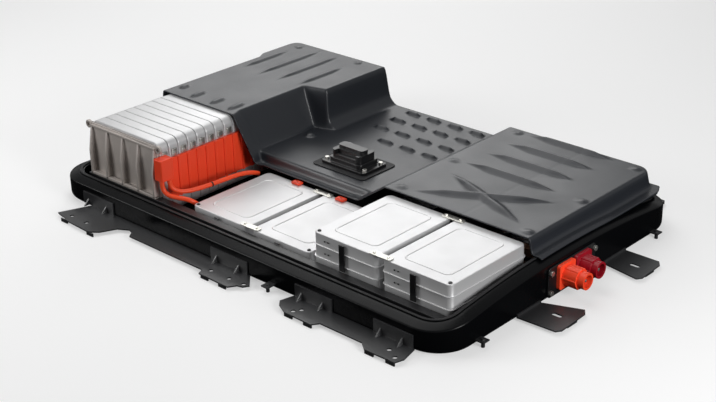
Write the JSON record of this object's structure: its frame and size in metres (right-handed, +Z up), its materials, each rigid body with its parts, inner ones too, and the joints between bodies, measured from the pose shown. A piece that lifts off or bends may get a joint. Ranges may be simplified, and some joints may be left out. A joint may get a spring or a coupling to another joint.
{
  "type": "vehicle traction battery pack",
  "caption": "Shallow vehicle battery pack with stacked cell modules, shown with its pressed black cover cut away along one side.",
  "frame": {"origin": "under the middle of the pack, on the surface that it rests on", "axes": "+X to the connector end, -Y to the cut-away side, +Z up"},
  "size_m": [1.626, 1.258, 0.246],
  "materials": {
    "case_paint": "satin black paint",
    "bracket_paint": "satin black paint",
    "cover_black": "satin black coating",
    "seal_rubber": "matt rubber",
    "module_can": "bright satin sheet",
    "end_plate_metal": "rough casting",
    "rail_steel": "dark coating",
    "bright_steel": "zinc plated",
    "orange_plastic": "semi-gloss moulding",
    "red_plastic": "semi-gloss moulding",
    "lead_orange": "cable sheath",
    "copper_bar": "plated bar",
    "black_plastic": "moulded"
  },
  "bodies": {
    "root": {"battery_controller": "black_plastic", "busbar_cover": "orange_plastic", "case_seal": "seal_rubber", "connector_bolts": "bright_steel", "connector_plate": "black_plastic", "cross_rails": "rail_steel", "far_end_plate": "end_plate_metal", "far_front_bracket": "bracket_paint", "far_rear_bracket": "bracket_paint", "far_side_rail": "rail_steel", "far_stack_a": "module_can", "far_stack_b": "module_can", "far_stack_c": "module_can", "far_stack_d": "module_can", "far_terminal_strips": "black_plastic", "far_tie_plates": "bright_steel", "front_busbars": "copper_bar", "front_far_tongue": "bracket_paint", "front_near_tongue": "bracket_paint", "junction_box": "black_plastic", "locating_pins": "bracket_paint", "lower_case": "case_paint", "lower_lead": "lead_orange", "near_end_plate": "end_plate_metal", "near_front_bracket": "bracket_paint", "near_rear_bracket": "bracket_paint", "near_side_rail": "rail_steel", "near_stack_a": "module_can", "near_stack_b": "module_can", "near_stack_c": "module_can", "near_stack_d": "module_can", "near_terminal_strips": "black_plastic", "near_tie_plates": "bright_steel", "orange_connector": "orange_plastic", "plug_base": "black_plastic", "plug_bolts": "bright_steel", "plug_seal": "seal_rubber", "rear_modules_covered": "module_can", "rear_modules_open": "module_can", "red_connector": "red_plastic", "service_plug": "black_plastic", "terminal_cover": "orange_plastic", "upper_cover": "cover_black", "upper_lead": "lead_orange"}
  },
  "joints": []
}
